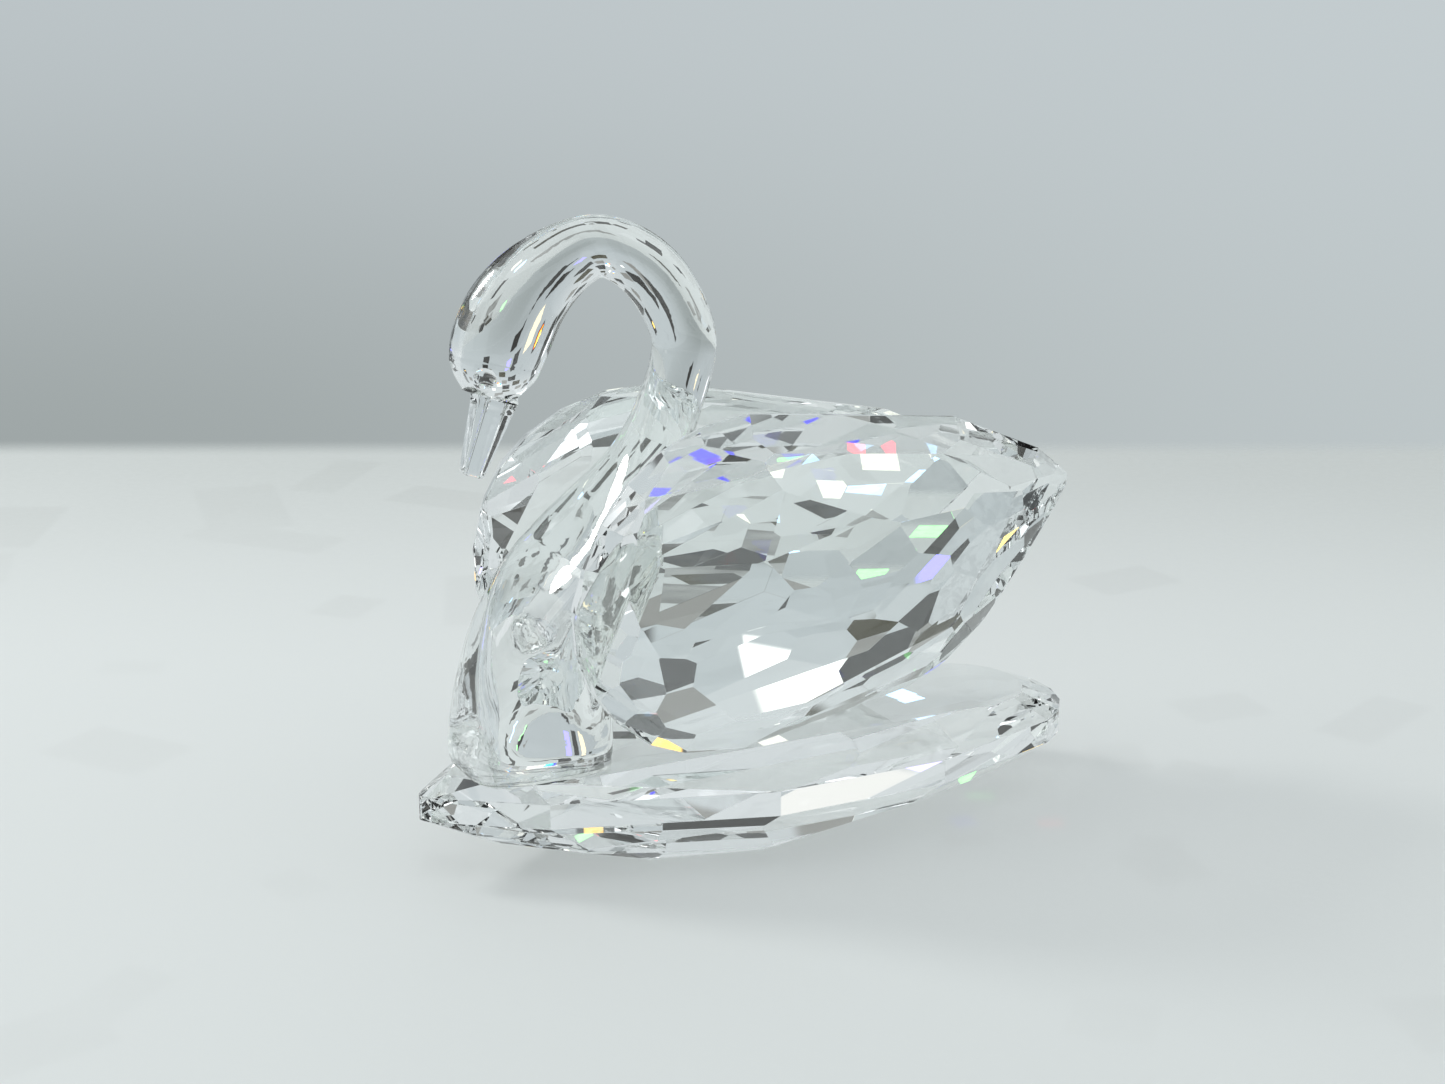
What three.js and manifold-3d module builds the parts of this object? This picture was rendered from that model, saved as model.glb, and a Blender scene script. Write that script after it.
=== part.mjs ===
// A crystal swan: a cut-stone base, a smooth pressed neck and two cut-stone wings, joined by cured adhesive.
// Millimetres, +Z up. The swan faces -X and its left side is at -Y. The base stands on Z = 0.
import * as THREE from "three";
import { mergeVertices } from "three/addons/utils/BufferGeometryUtils.js";
import Module from "manifold-3d";

// ---- Driving sizes ----
const BASE_LENGTH = 71.5;
const BASE_WIDTH = 30;
const BASE_HEIGHT = 10.4;
const BASE_GIRDLE_LOW = 6.3;
const BASE_GIRDLE_HIGH = 8.8;
const BASE_TAIL_RADIUS = 11;
const BASE_TABLE_WIDTH = 14;
const BASE_KEEL_LENGTH = 28;
const BASE_KEEL_WIDTH = 12;

const SWAN_HEIGHT = 63.5;
const NECK_THICKNESS = 6.3;
const NECK_HOOK_REACH = 20.3;
const HEAD_DEPTH = 9.6;
const HEAD_WIDTH = 7.6;
const BEAK_LENGTH = 8.2;
const EYE_RADIUS = 0.95;
const FOOT_DEPTH = 14.6;
const FOOT_WIDTH = 13;
const BREAST_WIDTH = 18.8;
const FOOT_SETBACK = 4.3;

const WING_LENGTH = 58;
const WING_HEIGHT = 33.6;
const WING_THICKNESS = 9.4;
const WING_GIRDLE = 1.4;
const WING_SETBACK = 32.7;
const WING_SET_IN = 0.7;
const WING_TOE_IN = 6.8;
const WING_LEAN = 3.5;
const WING_PITCH = 8;
const RIGHT_WING_DROOP = 3;
const RIGHT_WING_ROLL = -10;
const RIGHT_WING_ADVANCE = 1.8;

const BOND_THICKNESS = 0.3;
const WING_CLEARANCE = 0.3;

// ---- Finish ----
const CRYSTAL = { color: 0xeef4f4, roughness: 0.03, metalness: 0 };
const ADHESIVE = { color: 0xf2f3ea, roughness: 0.12, metalness: 0 };

const NECK_RINGS_PER_STATION = 3;
const NECK_SIDES = 28;
const SAME_CORNER = 1e-5;
const ROUGH_BLOCK = 2 * (BASE_LENGTH + WING_LENGTH);

const degrees = THREE.MathUtils.degToRad;
const wasm = await Module();
wasm.setup();

// ---- Solids ----

// A closed three.js geometry as a solid that can be joined and cut. A mirroring matrix turns its faces round.
function toSolid(geometry, matrix = new THREE.Matrix4()) {
  const bare = new THREE.BufferGeometry();
  bare.setAttribute("position", geometry.getAttribute("position").clone());
  bare.setIndex(geometry.index);
  bare.applyMatrix4(matrix);
  const merged = mergeVertices(bare, 1e-4);
  const triVerts = new Uint32Array(merged.index.array);
  if (matrix.determinant() < 0) triVerts.reverse();
  return new wasm.Manifold(
    new wasm.Mesh({ numProp: 3, vertProperties: merged.attributes.position.array, triVerts }),
  );
}

// A solid back as a three.js geometry.
function toGeometry(solid) {
  const mesh = solid.getMesh();
  const geometry = new THREE.BufferGeometry();
  geometry.setAttribute("position", new THREE.BufferAttribute(mesh.vertProperties, mesh.numProp));
  geometry.setIndex(new THREE.BufferAttribute(mesh.triVerts, 1));
  return geometry;
}

// ---- Cut stones ----

// An outline is a band stretched round a few discs. It is held as the distance from the origin to the
// band's straight edge in each direction.
function outline(discs) {
  return (angle) =>
    Math.max(...discs.map((d) => d.x * Math.cos(angle) + d.y * Math.sin(angle) + d.radius));
}

// The outline part of the way from one to another.
function between(first, second, share) {
  return (angle) => THREE.MathUtils.lerp(first(angle), second(angle), share);
}

// One row of ground facets all round a stone, from one outline at one height to a smaller one at another.
function facetRow({ count, turn, outer, from, inner, to }) {
  const planes = [];
  for (let i = 0; i < count; i += 1) {
    const angle = ((i + turn) * 2 * Math.PI) / count;
    const run = outer(angle) - inner(angle);
    const tilt = new THREE.Vector2(Math.abs(to - from), Math.sign(to - from) * run).normalize();
    const normal = new THREE.Vector3(Math.cos(angle) * tilt.x, Math.sin(angle) * tilt.x, tilt.y);
    planes.push({ normal, offset: outer(angle) * tilt.x + from * tilt.y });
  }
  return planes;
}

// The upright wall round a stone's widest line.
function girdleWall(edge, count) {
  const planes = [];
  for (let i = 0; i < count; i += 1) {
    const angle = (i * 2 * Math.PI) / count;
    const normal = new THREE.Vector3(Math.cos(angle), Math.sin(angle), 0);
    planes.push({ normal, offset: edge(angle) });
  }
  return planes;
}

// The six square faces of a rough block, as loops of corners that run anticlockwise seen from outside.
function roughBlock(half) {
  const loops = [];
  for (const axis of [0, 1, 2]) {
    for (const side of [-1, 1]) {
      const corners = [[-1, -1], [side, -side], [1, 1], [-side, side]].map(([a, b]) => {
        const corner = [0, 0, 0];
        corner[axis] = side * half;
        corner[(axis + 1) % 3] = a * half;
        corner[(axis + 2) % 3] = b * half;
        return new THREE.Vector3(...corner);
      });
      loops.push(corners);
    }
  }
  return loops;
}

// Corners of a flat face in order round its middle, seen from outside.
function inOrder(corners, normal) {
  const middle = new THREE.Vector3();
  corners.forEach((corner) => middle.addScaledVector(corner, 1 / corners.length));
  const first = corners[0].clone().sub(middle).normalize();
  const second = normal.clone().cross(first);
  const turn = (corner) => {
    const arm = corner.clone().sub(middle);
    return Math.atan2(arm.dot(second), arm.dot(first));
  };
  return [...corners].sort((a, b) => turn(a) - turn(b));
}

// Grinds one flat facet: whatever stands beyond the plane goes.
function grind(loops, { normal, offset }) {
  const kept = [];
  const rim = [];
  const addToRim = (point) => {
    if (!rim.some((other) => other.distanceTo(point) < SAME_CORNER)) rim.push(point);
  };
  for (const loop of loops) {
    const heights = loop.map((corner) => {
      const height = corner.dot(normal) - offset;
      return Math.abs(height) < SAME_CORNER ? 0 : height;
    });
    const left = [];
    loop.forEach((corner, i) => {
      const next = (i + 1) % loop.length;
      if (heights[i] <= 0) left.push(corner);
      if (heights[i] === 0) addToRim(corner);
      if (heights[i] * heights[next] < 0) {
        const share = heights[i] / (heights[i] - heights[next]);
        const cut = corner.clone().lerp(loop[next], share);
        const met = rim.find((other) => other.distanceTo(cut) < SAME_CORNER) ?? cut;
        left.push(met);
        addToRim(met);
      }
    });
    const inside = heights.some((height) => height < 0);
    if (inside && left.length > 2) kept.push(left);
  }
  const touched = loops.some((loop) =>
    loop.some((corner) => corner.dot(normal) - offset > SAME_CORNER),
  );
  if (touched && rim.length > 2) kept.push(inOrder(rim, normal));
  return kept;
}

// A stone ground from a rough block by the given planes.
function cutStone(planes) {
  const loops = planes.reduce(grind, roughBlock(ROUGH_BLOCK));
  const positions = [];
  for (const loop of loops) {
    for (let i = 1; i + 1 < loop.length; i += 1) {
      for (const corner of [loop[0], loop[i], loop[i + 1]]) positions.push(...corner.toArray());
    }
  }
  const geometry = new THREE.BufferGeometry();
  geometry.setAttribute("position", new THREE.Float32BufferAttribute(positions, 3));
  return mergeVertices(geometry, 1e-3);
}

// ---- Base: a boat-shaped stone, pointed in front and round behind ----

function baseGeometry() {
  const half = BASE_LENGTH / 2;
  const girdle = outline([
    { x: -half + 0.8, y: 0, radius: 0.8 },
    { x: -half + 0.2 * BASE_LENGTH, y: 0, radius: 0.3 * BASE_WIDTH },
    { x: 0.06 * BASE_LENGTH, y: 0, radius: BASE_WIDTH / 2 },
    { x: half - BASE_TAIL_RADIUS, y: 0, radius: BASE_TAIL_RADIUS },
  ]);
  const table = outline([
    { x: -half + 0.04 * BASE_LENGTH, y: 0, radius: 0.1 },
    { x: -half + 0.17 * BASE_LENGTH, y: 0, radius: BASE_TABLE_WIDTH / 2 },
    { x: half - BASE_TAIL_RADIUS, y: 0, radius: BASE_TABLE_WIDTH / 2 },
  ]);
  const keelEnd = BASE_KEEL_LENGTH / 2 - BASE_KEEL_WIDTH / 2;
  const keel = outline([
    { x: -0.04 * BASE_LENGTH - keelEnd, y: 0, radius: BASE_KEEL_WIDTH / 2 },
    { x: -0.04 * BASE_LENGTH + keelEnd, y: 0, radius: BASE_KEEL_WIDTH / 2 },
  ]);
  const bilge = between(girdle, keel, 0.35);
  const low = BASE_GIRDLE_LOW;
  const high = BASE_GIRDLE_HIGH;
  return cutStone([
    { normal: new THREE.Vector3(0, 0, -1), offset: 0 },
    { normal: new THREE.Vector3(0, 0, 1), offset: BASE_HEIGHT },
    ...girdleWall(girdle, 20),
    ...facetRow({ count: 20, turn: 0, outer: girdle, from: high, inner: table, to: BASE_HEIGHT }),
    ...facetRow({ count: 20, turn: 0, outer: girdle, from: low, inner: bilge, to: 0.5 * low }),
    ...facetRow({ count: 12, turn: 0.5, outer: bilge, from: 0.5 * low, inner: keel, to: 0 }),
  ]);
}

// ---- Wings: pear-shaped half stones, flat inside ----

// The wing's outlines. X runs from the round front to the tip, Y is up, and the origin is in the body.
const wingFront = -0.355 * WING_LENGTH;
const wingFoot = -0.5 * WING_HEIGHT;

function wingEdge() {
  const body = 0.5 * WING_HEIGHT;
  return outline([
    { x: wingFront + body, y: wingFoot + body, radius: body },
    { x: 0.26 * WING_LENGTH, y: 0.07 * WING_HEIGHT, radius: 0.44 * WING_HEIGHT },
    { x: 0.43 * WING_LENGTH, y: 0.33 * WING_HEIGHT, radius: 0.14 * WING_HEIGHT },
    { x: wingFront + WING_LENGTH - 1.2, y: 0.31 * WING_HEIGHT, radius: 1.2 },
  ]);
}

function wingTable() {
  return outline([
    { x: -0.19 * WING_LENGTH, y: 0.1 * WING_HEIGHT, radius: 0.13 * WING_HEIGHT },
    { x: 0.25 * WING_LENGTH, y: 0.11 * WING_HEIGHT, radius: 0.13 * WING_HEIGHT },
  ]);
}

function wingGeometry() {
  const edge = wingEdge();
  const table = wingTable();
  const shoulder = between(edge, table, 0.22);
  const slope = between(edge, table, 0.6);
  const t = WING_THICKNESS;
  return cutStone([
    { normal: new THREE.Vector3(0, 0, -1), offset: 0 },
    { normal: new THREE.Vector3(0, 0, 1), offset: t },
    ...girdleWall(edge, 24),
    ...facetRow({ count: 24, turn: 0, outer: edge, from: WING_GIRDLE, inner: shoulder, to: 0.48 * t }),
    ...facetRow({ count: 12, turn: 0.5, outer: shoulder, from: 0.46 * t, inner: slope, to: 0.8 * t }),
    ...facetRow({ count: 12, turn: 0, outer: slope, from: 0.77 * t, inner: table, to: t }),
  ]);
}

// ---- Neck: foot, S-shaped neck, head and beak in one smooth piece ----

// Stations up the neck. Each has a place in the swan's middle plane, half a depth, half a width and how
// square its section is: 0 is an oval, 1 has nearly flat sides.
function neckStations() {
  const footX = -BASE_LENGTH / 2 + FOOT_SETBACK + FOOT_DEPTH / 2;
  const footZ = BASE_HEIGHT + BOND_THICKNESS;
  const r = NECK_THICKNESS / 2;
  const top = SWAN_HEIGHT - r;
  const backX = footX + NECK_HOOK_REACH - r;
  const foot = FOOT_DEPTH;
  const breast = BREAST_WIDTH;
  const headDepth = HEAD_DEPTH;
  const headWidth = HEAD_WIDTH;
  return [
    { x: footX, z: footZ, depth: 0.49 * foot, width: 0.49 * FOOT_WIDTH, square: 1 },
    { x: footX, z: footZ + 1.2, depth: 0.5 * foot, width: 0.5 * FOOT_WIDTH, square: 1 },
    { x: footX + 0.3, z: footZ + 5.5, depth: 0.46 * foot, width: 0.41 * breast, square: 0.8 },
    { x: footX + 1.2, z: footZ + 10.8, depth: 0.39 * foot, width: 0.46 * breast, square: 0.6 },
    { x: footX + 3.6, z: footZ + 16.1, depth: 0.32 * foot, width: 0.5 * breast, square: 0.4 },
    { x: footX + 7.7, z: footZ + 21.5, depth: 0.25 * foot, width: 0.49 * breast, square: 0.2 },
    { x: footX + 12.2, z: footZ + 27.3, depth: 1.08 * r, width: 0.28 * breast, square: 0 },
    { x: backX - 2.2, z: footZ + 32.9, depth: r, width: r, square: 0 },
    { x: backX - 0.3, z: footZ + 38.3, depth: r, width: r, square: 0 },
    { x: backX - 0.4, z: top - 8.5, depth: r, width: r, square: 0 },
    { x: backX - 3.6, z: top - 2.8, depth: r, width: r, square: 0 },
    { x: backX - 8.8, z: top, depth: r, width: r, square: 0 },
    { x: backX - 12.9, z: top - 1.1, depth: 0.38 * headDepth, width: 0.45 * headWidth, square: 0 },
    { x: backX - 16.8, z: top - 4, depth: 0.46 * headDepth, width: 0.49 * headWidth, square: 0 },
    { x: backX - 19.2, z: top - 7.9, depth: 0.5 * headDepth, width: 0.5 * headWidth, square: 0 },
    { x: backX - 20, z: top - 11, depth: 0.43 * headDepth, width: 0.45 * headWidth, square: 0 },
    { x: backX - 20.4, z: top - 12.9, depth: 0.28 * headDepth, width: 0.32 * headWidth, square: 0 },
  ];
}

// A closed skin over a run of rings that all have the same number of points.
function skin(rings) {
  const around = rings[0].length;
  const positions = rings.flat().flatMap((point) => point.toArray());
  const index = [];
  for (let i = 0; i + 1 < rings.length; i += 1) {
    for (let j = 0; j < around; j += 1) {
      const a = i * around + j;
      const b = i * around + ((j + 1) % around);
      index.push(a, b, b + around, a, b + around, a + around);
    }
  }
  const last = (rings.length - 1) * around;
  for (let j = 1; j + 1 < around; j += 1) {
    index.push(0, j + 1, j);
    index.push(last, last + j, last + j + 1);
  }
  const geometry = new THREE.BufferGeometry();
  geometry.setAttribute("position", new THREE.Float32BufferAttribute(positions, 3));
  geometry.setIndex(index);
  return geometry;
}

// One ring of the neck: an oval, or a rounder box, square to the neck's line.
function neckRing(middle, along, depth, width, square) {
  const deep = new THREE.Vector3(0, 1, 0).cross(along);
  const power = 1 / (1 + square);
  const ring = [];
  for (let j = 0; j < NECK_SIDES; j += 1) {
    const angle = (j * 2 * Math.PI) / NECK_SIDES;
    const c = Math.cos(angle);
    const s = Math.sin(angle);
    const point = middle.clone().addScaledVector(deep, depth * Math.sign(c) * Math.abs(c) ** power);
    point.y = width * Math.sign(s) * Math.abs(s) ** power;
    ring.push(point);
  }
  return ring;
}

// The neck's rings along a smooth line through the stations.
function neckSkin() {
  const stations = neckStations();
  const line = new THREE.CatmullRomCurve3(stations.map((s) => new THREE.Vector3(s.x, 0, s.z)));
  const sizes = new THREE.CatmullRomCurve3(
    stations.map((s) => new THREE.Vector3(s.depth, s.width, s.square)),
  );
  const steps = NECK_RINGS_PER_STATION * (stations.length - 1);
  const rings = [];
  for (let i = 0; i <= steps; i += 1) {
    const along = i === 0 ? new THREE.Vector3(0, 0, 1) : line.getTangent(i / steps);
    const size = sizes.getPoint(i / steps);
    rings.push(neckRing(line.getPoint(i / steps), along, size.x, size.y, Math.max(0, size.z)));
  }
  return skin(rings);
}

// The beak: a straight tapering bar with flat faces and small chamfers.
function beakSkin() {
  const stations = neckStations();
  const root = stations[stations.length - 2];
  const end = stations[stations.length - 1];
  const from = new THREE.Vector3(root.x, 0, root.z);
  const along = new THREE.Vector3(end.x, 0, end.z).sub(from).normalize();
  const deep = new THREE.Vector3(0, 1, 0).cross(along);
  const length = BEAK_LENGTH + from.distanceTo(new THREE.Vector3(end.x, 0, end.z));
  const shares = [0, 0.97, 1];
  const rings = shares.map((share) => {
    const depth = THREE.MathUtils.lerp(0.2, 0.1, share) * HEAD_DEPTH - (share === 1 ? 0.35 : 0);
    const width = THREE.MathUtils.lerp(0.34, 0.11, share) * HEAD_WIDTH - (share === 1 ? 0.3 : 0);
    const cut = 0.3 * Math.min(depth, width);
    const corners = [
      [depth, width - cut], [depth - cut, width], [cut - depth, width], [-depth, width - cut],
      [-depth, cut - width], [cut - depth, -width], [depth - cut, -width], [depth, cut - width],
    ];
    return corners.map(([d, w]) => {
      const point = from.clone().addScaledVector(along, share * length).addScaledVector(deep, d);
      point.y = w;
      return point;
    });
  });
  return skin(rings);
}

// The eyes: two round dimples, low on the head and towards its front.
function eyeDimples() {
  const stations = neckStations();
  const cheek = stations[stations.length - 2];
  return [-1, 1].map((side) => {
    const x = cheek.x - 0.235 * HEAD_DEPTH;
    const place = new THREE.Matrix4().makeTranslation(x, side * cheek.width, cheek.z);
    return toSolid(new THREE.SphereGeometry(EYE_RADIUS, 16, 10), place);
  });
}

// ---- Placing the wings ----

// How far the breast reaches in a direction.
function breastReach(direction) {
  const position = neckSkin().getAttribute("position");
  let reach = -Infinity;
  for (let i = 0; i < position.count; i += 1) {
    reach = Math.max(reach, new THREE.Vector3().fromBufferAttribute(position, i).dot(direction));
  }
  return reach;
}

// The left wing's frame: X along the wing, Y up, Z outwards from the swan. The wing tips back, leans out and
// toes in, and its lowest corner clears the base. The right wing mirrors it.
function wingMatrix(side) {
  const lean = WING_LEAN + (side > 0 ? RIGHT_WING_ROLL : 0);
  const pitch = WING_PITCH + (side > 0 ? RIGHT_WING_DROOP : 0);
  const turned = new THREE.Matrix4()
    .makeRotationZ(degrees(WING_TOE_IN))
    .multiply(new THREE.Matrix4().makeRotationX(degrees(lean)))
    .multiply(new THREE.Matrix4().makeRotationY(degrees(pitch)))
    .multiply(new THREE.Matrix4().makeRotationX(Math.PI / 2));
  const stone = wingGeometry().applyMatrix4(turned);
  stone.computeBoundingBox();
  const x = WING_SETBACK - BASE_LENGTH / 2 - (side > 0 ? RIGHT_WING_ADVANCE : 0);
  const z = BASE_HEIGHT + WING_CLEARANCE - stone.boundingBox.min.z;
  const outward = new THREE.Vector3(0, 0, 1).transformDirection(turned);
  const y = (breastReach(outward) - WING_SET_IN - x * outward.x - z * outward.z) / outward.y;
  const place = new THREE.Matrix4().makeTranslation(x, y, z);
  return new THREE.Matrix4().makeScale(1, -side, 1).multiply(place).multiply(turned);
}

// ---- Adhesive ----

// A thick slab that lies against a wing's flat inner face, on the swan's side or from there outwards.
function slabAt(side, near, far) {
  const across = ROUGH_BLOCK;
  const slab = new THREE.BoxGeometry(across, across, far - near);
  slab.translate(0, 0, (near + far) / 2);
  return toSolid(slab, wingMatrix(side));
}

// The wing's outline as a straight prism a little smaller than the wing, where its adhesive may lie.
function bondWindow(side) {
  const edge = between(wingEdge(), () => 0, 0.03);
  const depth = 2 * BOND_THICKNESS;
  const window = cutStone([
    { normal: new THREE.Vector3(0, 0, -1), offset: depth },
    { normal: new THREE.Vector3(0, 0, 1), offset: depth },
    ...girdleWall(edge, 24),
  ]);
  return toSolid(window, wingMatrix(side));
}

// The film between the neck's foot and a wing, and the neck ground flat to take it.
function glueWing(neck, side) {
  const film = neck.intersect(slabAt(side, -BOND_THICKNESS, 0)).intersect(bondWindow(side));
  const ground = neck.subtract(slabAt(side, -BOND_THICKNESS, ROUGH_BLOCK));
  return { film, ground };
}

// The film under the foot: the outline of the foot's flat underside, between it and the base.
function footFilm(neck) {
  const slice = new THREE.BoxGeometry(ROUGH_BLOCK, ROUGH_BLOCK, BOND_THICKNESS);
  const floor = BASE_HEIGHT + BOND_THICKNESS;
  slice.translate(0, 0, floor + BOND_THICKNESS / 2);
  const lowered = new THREE.Matrix4().makeTranslation(0, 0, -BOND_THICKNESS);
  return toSolid(toGeometry(neck.intersect(toSolid(slice))), lowered);
}

// ---- Assembly ----

function namedMesh(name, geometry, finish) {
  const mesh = new THREE.Mesh(geometry, new THREE.MeshStandardMaterial(finish));
  mesh.name = name;
  return mesh;
}

function pressedNeck() {
  const rough = toSolid(neckSkin()).add(toSolid(beakSkin()));
  return eyeDimples().reduce((solid, dimple) => solid.subtract(dimple), rough);
}

const swan = new THREE.Group();
let neck = pressedNeck();
for (const [name, side] of [["left_wing", -1], ["right_wing", 1]]) {
  const wing = namedMesh(name, wingGeometry(), CRYSTAL);
  wing.applyMatrix4(wingMatrix(side));
  const { film, ground } = glueWing(neck, side);
  neck = ground;
  swan.add(wing, namedMesh(`${name}_bond`, toGeometry(film), ADHESIVE));
}
swan.add(namedMesh("neck", toGeometry(neck), CRYSTAL));
swan.add(namedMesh("foot_bond", toGeometry(footFilm(neck)), ADHESIVE));
swan.add(namedMesh("base", baseGeometry(), CRYSTAL));

export default swan;
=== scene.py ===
"""A crystal swan: cut base, pressed neck and two cut wings, held together by clear adhesive films."""

import logging
import math
from collections.abc import Mapping, Sequence
from dataclasses import dataclass
from enum import Enum
from typing import Any

import bmesh
import bpy
import numpy as np
from mathutils import Matrix, Vector


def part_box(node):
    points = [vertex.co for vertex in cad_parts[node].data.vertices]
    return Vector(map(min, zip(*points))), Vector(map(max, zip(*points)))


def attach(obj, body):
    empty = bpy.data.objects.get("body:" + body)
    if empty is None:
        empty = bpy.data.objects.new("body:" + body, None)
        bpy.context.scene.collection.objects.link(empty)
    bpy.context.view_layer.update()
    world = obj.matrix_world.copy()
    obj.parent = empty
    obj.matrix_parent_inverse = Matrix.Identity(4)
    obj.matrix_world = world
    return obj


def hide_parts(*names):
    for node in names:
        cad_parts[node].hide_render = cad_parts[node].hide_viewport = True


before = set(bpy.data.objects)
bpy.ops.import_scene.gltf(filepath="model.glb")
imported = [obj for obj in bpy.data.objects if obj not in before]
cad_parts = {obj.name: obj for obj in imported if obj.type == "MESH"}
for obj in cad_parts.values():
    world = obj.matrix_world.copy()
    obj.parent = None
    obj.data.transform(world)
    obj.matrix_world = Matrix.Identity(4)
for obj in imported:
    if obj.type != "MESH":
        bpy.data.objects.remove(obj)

LOG = logging.getLogger("crystal_swan")
MM = 0.001
SHARP_EDGE = math.radians(30)

Colour = tuple[float, float, float]


# ---- Shader arithmetic ----


@dataclass(frozen=True)
class Value:
    """A node's output that takes part in ordinary arithmetic."""

    bench: "NodeBench"
    socket: bpy.types.NodeSocket | None

    def _math(self, operation: str, first: Any, second: Any = None) -> "Value":
        """Adds one Math node.

        Args:
            operation: the Math node's operation.
            first: its first value, a number or a Value.
            second: its second value, where the operation has one.

        Returns:
            The node's result.
        """
        inputs = {0: first} if second is None else {0: first, 1: second}
        return self.bench.add("ShaderNodeMath", {"operation": operation}, inputs)

    def __add__(self, other: Any) -> "Value":
        """This value plus another."""
        return self._math("ADD", self, other)

    def __radd__(self, other: Any) -> "Value":
        """A number plus this value."""
        return self._math("ADD", other, self)

    def __sub__(self, other: Any) -> "Value":
        """This value less another."""
        return self._math("SUBTRACT", self, other)

    def __rsub__(self, other: Any) -> "Value":
        """A number less this value."""
        return self._math("SUBTRACT", other, self)

    def __mul__(self, other: Any) -> "Value":
        """This value times another."""
        return self._math("MULTIPLY", self, other)

    def __rmul__(self, other: Any) -> "Value":
        """A number times this value."""
        return self._math("MULTIPLY", other, self)

    def __truediv__(self, other: Any) -> "Value":
        """This value over another."""
        return self._math("DIVIDE", self, other)

    def __abs__(self) -> "Value":
        """This value without its sign."""
        return self._math("ABSOLUTE", self)

    def least(self, other: Any) -> "Value":
        """The smaller of this value and another."""
        return self._math("MINIMUM", self, other)

    def most(self, other: Any) -> "Value":
        """The larger of this value and another."""
        return self._math("MAXIMUM", self, other)

    def step(self, low: float, high: float) -> "Value":
        """A smooth step of this value.

        Args:
            low: where the step is 0.
            high: where it is 1, which may be below low.

        Returns:
            A value from 0 to 1.
        """
        settings = {"interpolation_type": "SMOOTHSTEP", "clamp": True}
        inputs = {"Value": self, "From Min": min(low, high), "From Max": max(low, high)}
        rise = self.bench.add("ShaderNodeMapRange", settings, inputs)
        return 1 - rise if high < low else rise

    def dot(self, direction: Sequence[float]) -> "Value":
        """The share of this vector that lies along a fixed direction."""
        inputs = {0: self, 1: tuple(direction)}
        return self.bench.add("ShaderNodeVectorMath", {"operation": "DOT_PRODUCT"}, inputs, "Value")

    def scaled(self, factors: Sequence[float]) -> "Value":
        """This vector times a fixed factor along each axis."""
        inputs = {0: self, 1: tuple(factors)}
        return self.bench.add("ShaderNodeVectorMath", {"operation": "MULTIPLY"}, inputs)


class NodeBench:
    """Adds nodes to one node tree and links their sockets."""

    def __init__(self, tree: bpy.types.NodeTree) -> None:
        """Starts with an empty tree.

        Args:
            tree: the material's or world's node tree.
        """
        self.tree = tree
        tree.nodes.clear()

    def add(
        self,
        kind: str,
        settings: Mapping[str, Any] | None = None,
        inputs: Mapping[str | int, Any] | None = None,
        output: str | int = 0,
    ) -> Value:
        """Adds a node, sets it up, and feeds its sockets.

        Args:
            kind: the node's type name.
            settings: the node's own settings. "stops" gives a colour ramp's places and colours.
            inputs: numbers, colours or Values for its input sockets, by name or place.
            output: which output is wanted.

        Returns:
            The wanted output.
        """
        node = self.tree.nodes.new(kind)
        for name, setting in (settings or {}).items():
            if name == "stops":
                self._fill_ramp(node.color_ramp, setting)
            else:
                setattr(node, name, setting)
        for name, value in (inputs or {}).items():
            self._feed(node.inputs[name], value)
        return Value(self, node.outputs[output] if len(node.outputs) else None)

    @staticmethod
    def _fill_ramp(ramp: bpy.types.ColorRamp, stops: Sequence[tuple[float, Colour]]) -> None:
        """Gives a colour ramp its stops.

        Args:
            ramp: the ramp.
            stops: the place, from 0 to 1, and the colour of each stop.
        """
        while len(ramp.elements) < len(stops):
            ramp.elements.new(1.0)
        for element, (place, colour) in zip(ramp.elements, stops):
            element.position = place
            element.color = (*colour, 1.0)

    def _feed(self, socket: bpy.types.NodeSocket, value: Any) -> None:
        """Links a Value to a socket, or sets the socket's own number or colour.

        Args:
            socket: the input socket.
            value: the Value, number or colour.
        """
        if isinstance(value, Value):
            self.tree.links.new(value.socket, socket)
        elif socket.type == "RGBA" and len(value) == 3:
            socket.default_value = (*value, 1.0)
        else:
            socket.default_value = value

    def mix(self, factor: Any, first: Any, second: Any) -> Value:
        """A colour part of the way from one to another.

        Args:
            factor: 0 for the first colour, 1 for the second.
            first: a colour or Value.
            second: a colour or Value.

        Returns:
            The mixed colour.
        """
        node = self.tree.nodes.new("ShaderNodeMix")
        node.data_type = "RGBA"
        for index, value in ((0, factor), (6, first), (7, second)):
            self._feed(node.inputs[index], value)
        return Value(self, node.outputs[2])

    def place_mm(self) -> Value:
        """The point on the surface in the object's own frame, in millimetres."""
        coordinates = self.add("ShaderNodeTexCoord", output="Object")
        return coordinates.scaled((1 / MM, 1 / MM, 1 / MM))

    def noise(self, place: Value, size: float, detail: float = 2.0) -> Value:
        """Soft noise.

        Args:
            place: where it is read, in millimetres.
            size: the size of its lumps, in millimetres.
            detail: how many finer layers it has.

        Returns:
            A value near 0.5.
        """
        inputs = {"Vector": place, "Scale": 1 / size, "Detail": detail}
        return self.add("ShaderNodeTexNoise", None, inputs)

    def bump(self, height: Value, depth: float) -> Value:
        """A bumped normal.

        Args:
            height: the height, from 0 to 1.
            depth: the depth that a height of 1 stands for, in metres.

        Returns:
            The normal.
        """
        return self.add("ShaderNodeBump", None, {"Height": height, "Distance": depth, "Strength": 1.0})

    def surface(self, inputs: Mapping[str, Any]) -> None:
        """Gives the material one Principled shader.

        Args:
            inputs: numbers, colours or Values for the shader's sockets, by name.
        """
        shader = self.add("ShaderNodeBsdfPrincipled", None, inputs)
        self.add("ShaderNodeOutputMaterial", None, {"Surface": shader})


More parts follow.
